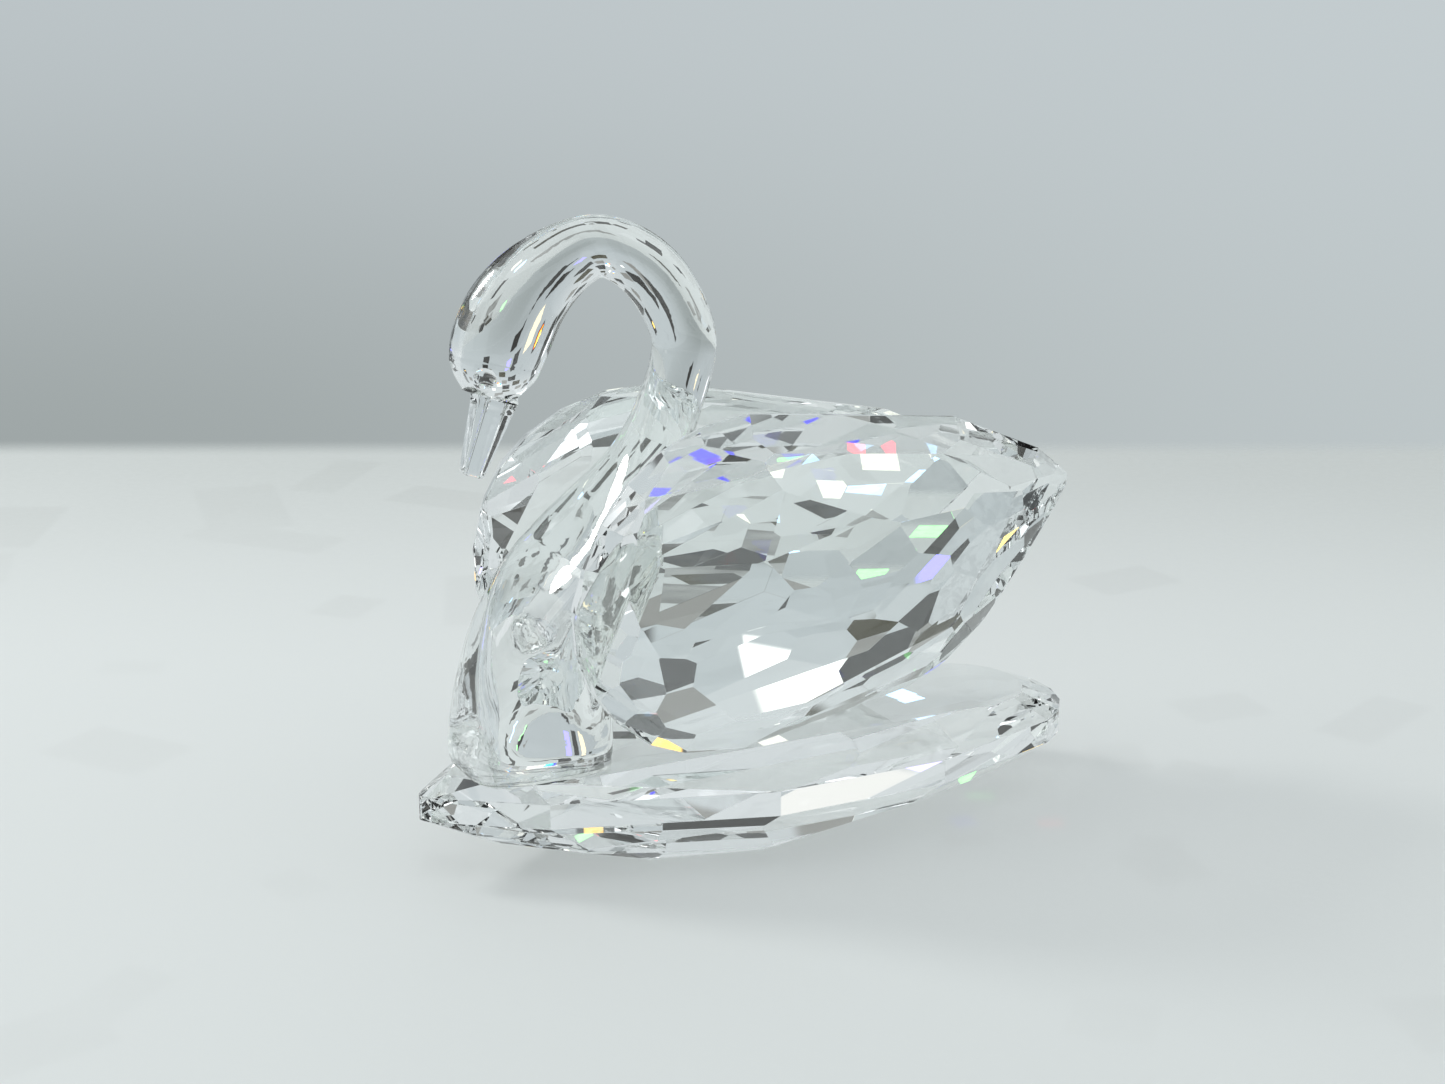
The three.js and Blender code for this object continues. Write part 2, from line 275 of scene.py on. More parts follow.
# ---- Finishes ----


def new_material(name: str) -> tuple[bpy.types.Material, NodeBench]:
    """Starts a material.

    Args:
        name: the material's name.

    Returns:
        The empty material, and the bench for its nodes.
    """
    material = bpy.data.materials.new(name)
    material.use_nodes = True
    return material, NodeBench(material.node_tree)


def faded(colour: Colour, share: float) -> Colour:
    """A colour brought down to a share of its strength."""
    red, green, blue = colour
    return share * red, share * green, share * blue


@dataclass(frozen=True)
class Crystal:
    """Clear lead crystal.

    Attributes:
        name: the material's name.
        tint: the glass's own colour.
        ior: its refractive index.
        polish: the roughness of clean polished glass.
        haze: the added roughness where the surface is handled or dusty.
        ripple: the depth of the surface's long ripples, in metres.
        ripple_size: the length of those ripples, in millimetres.
        stretch: how much the ripples are drawn out along each axis.
    """

    name: str
    tint: Colour = (0.97, 0.99, 0.985)
    ior: float = 1.56
    polish: float = 0.0
    haze: float = 0.03
    ripple: float = 0.0
    ripple_size: float = 5.0
    stretch: tuple[float, float, float] = (1.0, 1.0, 1.0)

    def material(self) -> bpy.types.Material:
        """Builds the material.

        Returns:
            The finished material.
        """
        material, bench = new_material(self.name)
        place = bench.place_mm()
        smears = bench.noise(place.scaled((0.6, 0.6, 1.6)), 7.0, 4.0).step(0.55, 0.78)
        specks = bench.noise(place, 0.35, 1.0).step(0.70, 0.80)
        wear = (smears * 0.5 + specks).least(1.0)
        inputs: dict[str, Any] = {
            "Base Color": bench.mix(smears * 0.6, self.tint, faded(self.tint, 0.97)),
            "Roughness": self.polish + wear * self.haze,
            "IOR": self.ior,
            "Transmission Weight": 1.0,
        }
        if self.ripple > 0:
            ripples = bench.noise(place.scaled(self.stretch), self.ripple_size, 2.0)
            fine = bench.noise(place, 0.8, 1.0)
            inputs["Normal"] = bench.bump(ripples + fine * 0.06, self.ripple)
        bench.surface(inputs)
        return material


@dataclass(frozen=True)
class Adhesive:
    """Cured clear adhesive: almost as clear as the crystal, with a few tiny bubbles.

    Attributes:
        name: the material's name.
        tint: its own colour.
        clouded: its colour where it is cloudy or has a bubble.
        ior: its refractive index.
    """

    name: str = "cured adhesive"
    tint: Colour = (0.985, 0.985, 0.965)
    clouded: Colour = (0.93, 0.93, 0.90)
    ior: float = 1.56

    def material(self) -> bpy.types.Material:
        """Builds the material.

        Returns:
            The finished material.
        """
        material, bench = new_material(self.name)
        place = bench.place_mm()
        bubbles = bench.noise(place, 0.5, 2.0).step(0.72, 0.80)
        cloud = bench.noise(place, 3.0, 3.0).step(0.45, 0.75)
        inputs = {
            "Base Color": bench.mix(cloud * 0.5 + bubbles * 0.5, self.tint, self.clouded),
            "Roughness": 0.002 + bubbles * 0.2,
            "IOR": self.ior,
            "Transmission Weight": 1.0,
        }
        bench.surface(inputs)
        return material


@dataclass(frozen=True)
class PaleBoard:
    """The matt pale board that the studio's floor is made of.

    Attributes:
        name: the material's name.
        near: its colour in front.
        far: its colour towards the back edge, where painted shade makes the floor darker.
        glow: how much of its colour it gives as light of its own: painted light, as the board is no
            lamp, which makes the shadows on it soft and light.
        depth: how far the back edge is from the middle, in metres.
        fade: the width of the soft back edge, in metres.
    """

    name: str = "pale board"
    near: Colour = (0.375, 0.396, 0.394)
    far: Colour = (0.245, 0.264, 0.256)
    glow: float = 0.83
    depth: float = 0.166
    fade: float = 0.012

    def material(self) -> bpy.types.Material:
        """Builds the material.

        Returns:
            The finished material.
        """
        material, bench = new_material(self.name)
        place = bench.place_mm()
        grain = bench.noise(place, 1.2, 4.0)
        clouds = bench.noise(place, 60.0, 3.0)
        back = place.dot((0.0, 1.0, 0.0)) / (self.depth / MM)
        # painted shade: the floor darkens from the near colour to the far one towards its back edge
        tone = bench.mix(back.step(0.25, 1.0), self.near, self.far)
        mottle = ((grain - 0.5) * 0.035 + (clouds - 0.5) * 0.05 + 0.5).step(0.35, 0.65)
        colour = bench.mix(mottle, faded(self.near, 0.96), tone)
        inputs = {
            "Base Color": colour,
            "Roughness": 0.75 + grain * 0.1,
            "Normal": bench.bump(grain, 0.00002),
            # painted light: the board glows with its own colour, lifting the shadows cast on it
            "Emission Color": colour,
            "Emission Strength": self.glow,
        }
        board = bench.add("ShaderNodeBsdfPrincipled", None, inputs)
        clear = bench.add("ShaderNodeBsdfTransparent")
        edge = 1 - self.fade / self.depth
        mixed = bench.add("ShaderNodeMixShader", None, {0: back.step(edge, 1.0), 1: board, 2: clear})
        bench.add("ShaderNodeOutputMaterial", None, {"Surface": mixed})
        return material


@dataclass(frozen=True)
class PaintedShadeCard:
    """A matt mottled card that only the crystal sees: painted shade, standing in for the dim room that
    its facets reflect.

    Attributes:
        name: the material's name.
        ground: its colour.
        nap: its colour where the nap lies the other way.
        mottle: the size of those places, in millimetres.
        soft: how soft their edges are.
        stain: its colour in large faded places, where it has them.
    """

    name: str
    ground: Colour
    nap: Colour
    mottle: float
    soft: float
    stain: Colour | None = None

    def material(self) -> bpy.types.Material:
        """Builds the material.

        Returns:
            The finished material.
        """
        # painted shade: this card's colour shows only in the crystal's reflections and refractions
        material, bench = new_material(self.name)
        place = bench.place_mm()
        weave = bench.noise(place, self.mottle, 3.0)
        ground: Any = self.ground
        if self.stain is not None:
            ground = bench.mix(bench.noise(place, 45.0, 1.0).step(0.42, 0.58), ground, self.stain)
        tone = bench.mix(weave.step(0.5 - self.soft, 0.5 + self.soft), ground, self.nap)
        bench.surface({"Base Color": tone, "Roughness": 0.9 + weave * 0.1})
        return material


@dataclass(frozen=True)
class Gel:
    """A lit gel.

    Attributes:
        name: the material's name.
        light: the light that it gives.
    """

    name: str
    light: Colour

    def material(self) -> bpy.types.Material:
        """Builds the material.

        Returns:
            The finished material.
        """
        material, bench = new_material(self.name)
        patch = bench.noise(bench.place_mm(), 2.0, 2.0).step(0.25, 0.6)
        tone = bench.mix(patch, faded(self.light, 0.8), self.light)
        bench.surface({"Base Color": (0.0, 0.0, 0.0), "Emission Color": tone, "Emission Strength": 1.0})
        return material


# ---- Mesh helpers ----


class Shading(Enum):
    """Names for three material slots, which this script does not use."""

    FACETED = "faceted"
    SMOOTH = "smooth"


class Slot(Enum):
    """The record's material slots."""

    CUT = "cut_crystal"
    PRESSED = "moulded_crystal"
    ADHESIVE = "clear_adhesive"


def shade(mesh: bpy.types.Mesh, shading: Shading) -> None:
    """Shades a mesh's faces.

    Args:
        mesh: the mesh.
        shading: how its faces are shaded.
    """
    smooth = shading is Shading.SMOOTH
    mesh.polygons.foreach_set("use_smooth", [smooth] * len(mesh.polygons))
    if smooth:
        mesh.set_sharp_from_angle(angle=SHARP_EDGE)


def set_out(name: str, data: bpy.types.ID) -> bpy.types.Object:
    """Adds an object to the scene.

    Args:
        name: the object's name.
        data: its mesh, lamp or camera.

    Returns:
        The object.
    """
    thing = bpy.data.objects.new(name, data)
    bpy.context.scene.collection.objects.link(thing)
    return thing


def mesh_of(name: str, work: bmesh.types.BMesh) -> bpy.types.Mesh:
    """Turns finished mesh work into a mesh, and puts the work away.

    Args:
        name: the mesh's name.
        work: the finished work.

    Returns:
        The mesh.
    """
    mesh = bpy.data.meshes.new(name)
    work.to_mesh(mesh)
    work.free()
    return mesh


def mesh_from(
    name: str, points: Sequence[Sequence[float]], faces: Sequence[Sequence[int]]
) -> bpy.types.Mesh:
    """A mesh with its faces turned outwards.

    Args:
        name: the mesh's name.
        points: its corners, in metres.
        faces: the corners of each face.

    Returns:
        The mesh.
    """
    mesh = bpy.data.meshes.new(name)
    mesh.from_pydata([tuple(point) for point in points], [], [tuple(face) for face in faces])
    work = bmesh.new()
    work.from_mesh(mesh)
    bmesh.ops.recalc_face_normals(work, faces=work.faces)
    work.to_mesh(mesh)
    work.free()
    return mesh


def hand_in(piece: bpy.types.Object, material: bpy.types.Material, node: str) -> None:
    """Dresses a finished piece, sets it on the body, and says what it stands for.

    Args:
        piece: the piece.
        material: its finish.
        node: the frame's node that it replaces.
    """
    piece.data.materials.clear()
    piece.data.materials.append(material)
    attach(piece, "root")
    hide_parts(node)
    LOG.info("%s: %d faces, stands for %s", piece.name, len(piece.data.polygons), node)


# ---- Cut stones ----


@dataclass(frozen=True)
class Plane:
    """A flat face: a point on it and its direction, in metres."""

    point: Vector
    normal: Vector

    def beyond(self, place: Vector) -> float:
        """How far a point lies beyond the plane, in metres."""
        return (place - self.point).dot(self.normal)


def largest_face(node: str) -> Plane:
    """A node's largest flat face: a wing's is the inner one, facing the swan's body.

    Args:
        node: the frame's node.

    Returns:
        The face's plane: its middle, and the direction out of the solid.
    """
    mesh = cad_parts[node].data
    totals: dict[tuple[int, ...], list[Any]] = {}
    for face in mesh.polygons:
        key = tuple(round(part * 100) for part in face.normal)
        entry = totals.setdefault(key, [0.0, Vector(), face.normal.copy()])
        entry[0] += face.area
        entry[1] += face.center * face.area
    area, total, normal = max(totals.values(), key=lambda entry: entry[0])
    return Plane(total / area, normal)


def grind(work: bmesh.types.BMesh, plane: Plane) -> None:
    """Grinds away what lies beyond a plane, and closes the cut.

    Args:
        work: a closed convex solid.
        plane: the facet's plane.
    """
    if max(plane.beyond(vertex.co) for vertex in work.verts) < 1e-7:
        return
    solid = [*work.verts, *work.edges, *work.faces]
    flat = {"plane_co": plane.point, "plane_no": plane.normal}
    bmesh.ops.bisect_plane(work, geom=solid, dist=1e-8, clear_outer=True, **flat)
    rim = [edge for edge in work.edges if edge.is_boundary]
    bmesh.ops.holes_fill(work, edges=rim, sides=0)


@dataclass(frozen=True)
class CutStone:
    """A stone with flat ground facets and hair-fine softened edges.

    Attributes:
        node: the frame's node that gives its shape.
        name: the finished piece's name.
        edge: the width of the softened edges, in metres.
        weld: how close corners are before they become one, in metres.
    """

    node: str
    name: str
    edge: float = 0.05 * MM
    weld: float = 0.02 * MM

    def facets(self) -> list[Plane]:
        """The planes of the facets that are added to the node's own."""
        return []

    def build(self, finish: bpy.types.Material) -> bpy.types.Object:
        """Makes the stone from its node.

        Args:
            finish: the crystal's material.

        Returns:
            The piece.
        """
        work = bmesh.new()
        work.from_mesh(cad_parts[self.node].data)
        bmesh.ops.remove_doubles(work, verts=work.verts, dist=0.1 * self.weld)
        for plane in self.facets():
            grind(work, plane)
        bmesh.ops.remove_doubles(work, verts=work.verts, dist=self.weld)
        flat = math.radians(0.6)
        bmesh.ops.dissolve_limit(work, angle_limit=flat, verts=work.verts, edges=work.edges)
        bmesh.ops.recalc_face_normals(work, faces=work.faces)
        shape = {"offset": self.edge, "segments": 1, "profile": 0.5}
        bmesh.ops.bevel(work, geom=list(work.edges), affect="EDGES", clamp_overlap=True, **shape)
        bmesh.ops.recalc_face_normals(work, faces=work.faces)
        mesh = mesh_of(self.name, work)
        shade(mesh, Shading.FACETED)
        piece = set_out(self.name, mesh)
        hand_in(piece, finish, self.node)
        return piece


@dataclass(frozen=True)
class Row:
    """A row of facets round a stone.

    Attributes:
        tilt: how far each facet leans from the stone's flat, in degrees.
        count: how many facets there are.
        phase: how far round the row is turned, as a share of one facet.
    """

    tilt: float
    count: int
    phase: float = 0.0

    def turns(self) -> list[float]:
        """The direction of each facet round the stone, in radians."""
        return [2 * math.pi * (i + self.phase) / self.count for i in range(self.count)]


@dataclass(frozen=True)
class CutWing(CutStone):
    """A wing: a domed outer face and an inner face with a rim of facets round its flat.

    Attributes:
        bond: the node of its adhesive, whose ground stays flat.
        half_length: half the dome's length, in millimetres.
        half_height: half its height, in millimetres.
        outer: the rows of facets of the dome, from its middle outwards.
        inner: the rows of facets of the inner face.
        rim: how deep the inner rows cut at the stone's rim, in millimetres.
        spare: how much flat ground is kept round the adhesive, in millimetres.
    """

    bond: str = ""
    half_length: float = 35.0
    half_height: float = 19.5
    outer: tuple[Row, ...] = (
        Row(3.0, 3, 0.3),
        Row(8.0, 7, 0.1),
        Row(13.0, 9, 0.6),
        Row(18.5, 12, 0.2),
        Row(25.0, 14, 0.7),
        Row(33.0, 16, 0.2),
        Row(43.0, 18, 0.6),
    )
    inner: tuple[Row, ...] = (Row(9.0, 11, 0.4), Row(17.0, 15, 0.1), Row(30.0, 19, 0.5))
    rim: float = 1.15
    spare: float = 0.1

    def _axes(self, face: Plane) -> tuple[Vector, Vector]:
        """The stone's directions within its inner face.

        Args:
            face: the inner face.

        Returns:
            The directions of its length and of its height.
        """
        along = Vector((1.0, 0.0, 0.14))
        along = (along - face.normal * along.dot(face.normal)).normalized()
        return along, face.normal.cross(along).normalized()

    def facets(self) -> list[Plane]:
        """Lays out the facets.

        Returns:
            The planes of the dome's facets and of the inner rows.
        """
        face = largest_face(self.node)
        along, across = self._axes(face)
        corners = [vertex.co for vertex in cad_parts[self.node].data.vertices]
        glued = [vertex.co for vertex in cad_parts[self.bond].data.vertices]
        thick = max(-face.beyond(corner) for corner in corners)
        planes = []
        for row in self.outer:
            lean = math.radians(row.tilt)
            w = math.cos(lean)
            for turn in row.turns():
                u, v = math.cos(turn) * math.sin(lean), math.sin(turn) * math.sin(lean)
                normal = along * u + across * v - face.normal * w
                reach = math.hypot(self.half_length * MM * u, self.half_height * MM * v, thick * w)
                planes.append(Plane(face.point + normal * reach, normal))
        for row in self.inner:
            lean = math.radians(row.tilt)
            for turn in row.turns():
                side = along * math.cos(turn) + across * math.sin(turn)
                normal = (side * math.sin(lean) + face.normal * math.cos(lean)).normalized()
                edge = max(corners, key=side.dot)
                start = face.point + side * side.dot(edge - face.point) - face.normal * self.rim * MM
                beyond = max(Plane(start, normal).beyond(place) for place in glued)
                if beyond > 0:
                    start = start + normal * (beyond + self.spare * MM)
                planes.append(Plane(start, normal))
        return planes


# ---- Neck ----


@dataclass(frozen=True)
class Station:
    """A section of the neck.

    Attributes:
        x: how far back it is from the foot's middle, in millimetres.
        z: how high it is above the foot's flat, in millimetres.
        depth: half its depth, in millimetres.
        width: half its width, in millimetres.
        square: 0 for an oval, larger for flatter sides.
    """

    x: float
    z: float
    depth: float
    width: float
    square: float = 0.0

    def row(self) -> tuple[float, float, float, float, float]:
        """The station's numbers as one row."""
        return (self.x, self.z, self.depth, self.width, self.square)


def smooth_rows(rows: np.ndarray, steps: int) -> np.ndarray:
    """A smooth line through rows of numbers.

    Args:
        rows: the rows to pass through.
        steps: how many steps to take from each row to the next.

    Returns:
        The rows of the line.
    """
    ends = np.vstack([2 * rows[0] - rows[1], rows, 2 * rows[-1] - rows[-2]])
    spans = np.linalg.norm(np.diff(ends[:, :2], axis=0), axis=1)
    knots = np.concatenate([[0.0], np.cumsum(spans**0.5)])
    line = []
    for i in range(1, len(ends) - 2):
        t0, t1, t2, t3 = knots[i - 1 : i + 3]
        p0, p1, p2, p3 = ends[i - 1 : i + 3]
        for t in np.linspace(t1, t2, steps, endpoint=False):
            a1 = (t1 - t) / (t1 - t0) * p0 + (t - t0) / (t1 - t0) * p1
            a2 = (t2 - t) / (t2 - t1) * p1 + (t - t1) / (t2 - t1) * p2
            a3 = (t3 - t) / (t3 - t2) * p2 + (t - t2) / (t3 - t2) * p3
            b1 = (t2 - t) / (t2 - t0) * a1 + (t - t0) / (t2 - t0) * a2
            b2 = (t3 - t) / (t3 - t1) * a2 + (t - t1) / (t3 - t1) * a3
            line.append((t2 - t) / (t2 - t1) * b1 + (t - t1) / (t2 - t1) * b2)
    line.append(rows[-1])
    return np.array(line)


@dataclass(frozen=True)
class Neck:
    """The pressed neck: square foot, broad breast, S-shaped neck, dimpled eyes and flat-faced beak.

    Attributes:
        foot_setback: from the base's front end to the foot's front, in millimetres.
        thickness: the neck's thickness where it is slimmest, in millimetres.
        reach: from the foot's middle to the back of the hook, in millimetres.
        foot_depth: the foot's length from front to back, in millimetres.
        foot_width: its width, in millimetres.
        breast_width: the breast's width, in millimetres.
        head_depth: the head's depth from brow to chin, in millimetres.
        head_width: the head's width, in millimetres.
        beak_length: the beak's length beyond the head, in millimetres.
        eye_radius: the radius of the ball that presses an eye's dimple, in millimetres.
        film: the thickness of the adhesive under each wing, in millimetres.
        around: how many corners each section has.
        steps: how many sections there are from one station to the next.
        plain: how many sections at each end, the breast's and the head's, aren't evened out.
        spread: how many sections are evened out together.
    """

    foot_setback: float = 4.3
    thickness: float = 6.3
    reach: float = 20.3
    foot_depth: float = 14.6
    foot_width: float = 13.0
    breast_width: float = 18.8
    head_depth: float = 9.6
    head_width: float = 7.6
    beak_length: float = 8.2
    eye_radius: float = 1.25
    film: float = 0.3
    around: int = 104
    steps: int = 15
    plain: tuple[int, int] = (66, 20)
    spread: int = 21

    def stations(self) -> list[Station]:
        """Sets out the neck.

        Returns:
            The sections from the foot up to the head's end.
        """
        r = 0.5 * self.thickness
        foot, breast = self.foot_depth, self.breast_width
        deep, wide = self.head_depth, self.head_width
        low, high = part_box("neck")
        top = (high.z - low.z) / MM - r
        back = self.reach - r
        return [
            Station(0.0, 0.0, 0.49 * foot, 0.49 * self.foot_width, 1.0),
            Station(0.0, 1.2, 0.5 * foot, 0.5 * self.foot_width, 1.0),
            Station(0.3, 5.5, 0.46 * foot, 0.41 * breast, 0.8),
            Station(1.2, 10.8, 0.39 * foot, 0.46 * breast, 0.6),
            Station(3.6, 16.1, 0.32 * foot, 0.5 * breast, 0.4),
            Station(7.7, 21.5, 0.25 * foot, 0.49 * breast, 0.2),
            Station(12.2, 27.3, 1.08 * r, 0.28 * breast),
            Station(back - 2.2, 32.9, r, r),
            Station(back - 0.3, 38.3, r, r),
            Station(back - 0.4, top - 8.5, r, r),
            Station(back - 3.6, top - 2.8, r, r),
            Station(back - 8.8, top + 0.2, 0.93 * r, r),
            Station(back - 12.9, top - 1.0, 0.365 * deep, 0.45 * wide),
            Station(back - 16.8, top - 4.0, 0.46 * deep, 0.49 * wide),
            Station(back - 19.2, top - 7.9, 0.5 * deep, 0.5 * wide),
            Station(back - 20.0, top - 11.0, 0.43 * deep, 0.45 * wide),
            Station(back - 20.4, top - 12.9, 0.28 * deep, 0.32 * wide),
        ]

    def origin(self) -> Vector:
        """Finds the foot on the base.

        Returns:
            The middle of the foot's flat, in metres.
        """
        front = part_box("base")[0].x
        middle = front + (self.foot_setback + 0.5 * self.foot_depth) * MM
        return Vector((middle, 0.0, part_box("neck")[0].z))

    def _ring(
        self, centre: Vector, along: Vector, depth: float, width: float, square: float
    ) -> list[Vector]:
        """One section as a ring of points.

        Args:
            centre: the section's middle, in metres.
            along: the neck's direction there.
            depth: half its depth, in metres.
            width: half its width, in metres.
            square: how flat its sides are.

        Returns:
            The points.
        """
        deep = Vector((0.0, 1.0, 0.0)).cross(along).normalized()
        power = 1 / (1 + square)
        points = []
        for j in range(self.around):
            angle = 2 * math.pi * j / self.around
            c, s = math.cos(angle), math.sin(angle)
            u = depth * math.copysign(abs(c) ** power, c)
            v = width * math.copysign(abs(s) ** power, s)
            points.append(centre + deep * u + Vector((0.0, v, 0.0)))
        return points

    def _rings(self) -> list[list[Vector]]:
        """Makes every section.

        Returns:
            The rings of points, from the foot to the beak's tip.
        """
        rows = smooth_rows(np.array([station.row() for station in self.stations()]), self.steps)
        weights = np.hanning(self.spread + 2)[1:-1]
        weights /= weights.sum()
        middle = slice(self.plain[0], len(rows) - self.plain[1])
        for column in range(rows.shape[1]):
            rows[middle, column] = np.convolve(rows[:, column], weights, "same")[middle]
        origin = self.origin()
        rings = []
        for i, row in enumerate(rows):
            before, after = rows[max(i - 1, 0)], rows[min(i + 1, len(rows) - 1)]
            along = Vector((after[0] - before[0], 0.0, after[1] - before[1])).normalized()
            if i < 3:
                along = Vector((0.0, 0.0, 1.0)).lerp(along, i / 3).normalized()
            centre = origin + Vector((row[0], 0.0, row[1])) * MM
            rings.append(self._ring(centre, along, row[2] * MM, row[3] * MM, max(0.0, row[4])))
        return rings + self._beak(rows[-1], rows[-1 - self.steps], origin)

    def _beak(self, end: np.ndarray, before: np.ndarray, origin: Vector) -> list[list[Vector]]:
        """The beak's sections: a step in from the head, flat tapering faces, and a blunt tip.

        Args:
            end: the head's last section.
            before: the section of one station earlier, for the direction.
            origin: the foot's middle.

        Returns:
            The rings.
        """
        along = Vector((end[0] - before[0], 0.0, end[1] - before[1])).normalized()
        along = (along + Vector((-0.14, 0.0, 0.0))).normalized()
        start = origin + Vector((end[0] + 0.6, 0.0, end[1])) * MM
        root = np.array([0.17 * self.head_depth, 0.29 * self.head_width])
        tip = np.array([0.1 * self.head_depth, 0.11 * self.head_width])
        length = self.beak_length
        steps = [(0.35, 1.1 * root, 1.5), (0.55, root, 5.0), (0.9, 0.98 * root, 7.0)]
        for share in np.linspace(0.15, 0.965, 12):
            steps.append((share * length, root + (tip - root) * share, 7.0))
        steps += [(0.985 * length, 0.93 * tip, 5.0), (length, 0.72 * tip, 5.0)]
        return [
            self._ring(start + along * (place * MM), along, *(half * MM), square)
            for place, half, square in steps
        ]

    def _press_eyes(self, neck: bpy.types.Object) -> None:
        """Presses a round dimple into each side of the head for an eye.

        Args:
            neck: the neck.
        """
        cheek = self.stations()[-2]
        origin = self.origin()
        work = bmesh.new()
        ball = {"u_segments": 40, "v_segments": 24, "radius": self.eye_radius * MM}
        for side in (-1, 1):
            place = Vector((cheek.x - 0.235 * self.head_depth, side * 0.965 * cheek.width, cheek.z))
            bmesh.ops.create_uvsphere(work, matrix=Matrix.Translation(origin + place * MM), **ball)
        punch = set_out("eye_punch", mesh_of("eye_punch", work))
        cut = neck.modifiers.new("eyes", "BOOLEAN")
        cut.operation = "DIFFERENCE"
        cut.solver = "EXACT"
        cut.object = punch
        graph = bpy.context.evaluated_depsgraph_get()
        pressed = bpy.data.meshes.new_from_object(neck.evaluated_get(graph))
        neck.modifiers.clear()
        neck.data = pressed
        shade(pressed, Shading.SMOOTH)
        bpy.data.objects.remove(punch)

    def build(self, finish: bpy.types.Material) -> bpy.types.Object:
        """Makes the neck, with a flat ground on each side of the breast for its wing.

        Args:
            finish: the crystal's material.

        Returns:
            The piece.
        """
        rings = self._rings()
        points = np.array([point for ring in rings for point in ring])
        for node in ("left_wing", "right_wing"):
            face = largest_face(node)
            normal = np.array(face.normal)
            beyond = points @ normal - np.array(face.point) @ normal - self.film * MM
            points -= np.minimum(beyond, 0)[:, None] * normal[None, :]
        count = self.around
        faces = [list(range(count))]
        for i in range(len(rings) - 1):
            for j in range(count):
                k = (j + 1) % count
                near, far = i * count, (i + 1) * count
                faces.append([near + j, near + k, far + k, far + j])
        faces.append(list(range((len(rings) - 1) * count, len(rings) * count)))
        mesh = mesh_from("swan_neck", points, faces)
        shade(mesh, Shading.SMOOTH)
        piece = set_out("swan_neck", mesh)
        self._press_eyes(piece)
        hand_in(piece, finish, "neck")
        return piece


# ---- Adhesive films ----


@dataclass(frozen=True)
class Film:
    """A film of cured adhesive that wets both faces it joins.

    Attributes:
        node: the frame's node that gives its outline.
        name: the finished piece's name.
        wetting: how far it reaches into each face, in metres.
    """

    node: str
    name: str
    wetting: float = 0.02 * MM

    def build(self, finish: bpy.types.Material) -> bpy.types.Object:
        """Makes the film.

        Args:
            finish: the adhesive's material.

        Returns:
            The piece.
        """
        across = largest_face(self.node).normal
        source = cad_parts[self.node].data
        heights = [vertex.co.dot(across) for vertex in source.vertices]
        middle = 0.5 * (min(heights) + max(heights))
        half = 0.5 * (max(heights) - min(heights)) + self.wetting
        work = bmesh.new()
        for vertex, height in zip(source.vertices, heights):
            side = 1 if height > middle else -1
            work.verts.new(vertex.co + across * (middle + side * half - height))
        hull = bmesh.ops.convex_hull(work, input=work.verts)
        inside = {*hull["geom_interior"], *hull["geom_unused"]}
        spare = [item for item in inside if isinstance(item, bmesh.types.BMVert)]
        bmesh.ops.delete(work, geom=spare, context="VERTS")
        flat = math.radians(2)
        bmesh.ops.dissolve_limit(work, angle_limit=flat, verts=work.verts, edges=work.edges)
        bmesh.ops.recalc_face_normals(work, faces=work.faces)
        mesh = mesh_of(self.name, work)
        shade(mesh, Shading.SMOOTH)
        piece = set_out(self.name, mesh)
        hand_in(piece, finish, self.node)
        return piece


# ---- Studio ----


def way(azimuth: float, elevation: float) -> Vector:
    """The direction at an angle round the object, from -Y towards +X, and a height, in degrees."""
    a, e = math.radians(azimuth), math.radians(elevation)
    return Vector((math.sin(a) * math.cos(e), -math.cos(a) * math.cos(e), math.sin(e)))


@dataclass(frozen=True)
class Window:
    """A soft-edged rectangle of light in the studio, far away.

    Attributes:
        azimuth: its direction round the object, in degrees from -Y towards +X.
        elevation: its height, in degrees.
        width: its full width, in degrees.
        height: its full height, in degrees.
        colour: its light.
        split: how far its red and blue are drawn apart, in degrees.
        turn: its turn about its own middle, in degrees.
    """

    azimuth: float
    elevation: float
    width: float
    height: float
    colour: Colour
    split: float = 0.0
    turn: float = 0.0

    def axes(self) -> tuple[Vector, Vector, Vector]:
        """Sets the window square to the object.

        Returns:
            The directions towards it, across it and up it.
        """
        a = math.radians(self.azimuth)
        towards = way(self.azimuth, self.elevation)
        across = Vector((math.cos(a), math.sin(a), 0.0))
        up = towards.cross(across)
        roll = Matrix.Rotation(math.radians(self.turn), 3, towards)
        return towards, roll @ across, roll @ up

    def mask(self, direction: Value, shift: float) -> Value:
        """How much of the window is seen in a direction.

        Args:
            direction: the unit vector looked along.
            shift: how far the window is moved across, in degrees.

        Returns:
            A value from 0 to 1.
        """
        towards, across, up = self.axes()
        ahead = direction.dot(towards)
        depth = ahead.most(0.05)
        u = abs(direction.dot(across) / depth - math.tan(math.radians(shift)))
        v = abs(direction.dot(up) / depth)
        inside = ahead.step(0.05, 0.1)
        for place, size in ((v, self.height), (u, self.width)):
            half = math.tan(math.radians(size / 2))
            inside = place.step(half, 0.85 * half) * inside
        return inside

    def add_to(self, bench: NodeBench, direction: Value, under: Value) -> Value:
        """Lays the window over the light behind it.

        Args:
            bench: the world's bench.
            direction: the unit vector looked along.
            under: the light behind.

        Returns:
            The light with the window.
        """
        if not self.split:
            return bench.mix(self.mask(direction, 0.0), under, self.colour)
        masks = [self.mask(direction, shift) for shift in (-self.split, 0.0, self.split)]
        parts = dict(enumerate(mask * part for mask, part in zip(masks, self.colour)))
        glow = bench.add("ShaderNodeCombineColor", None, parts)
        lit = masks[0].most(masks[1]).most(masks[2])
        return bench.mix(lit, under, glow)


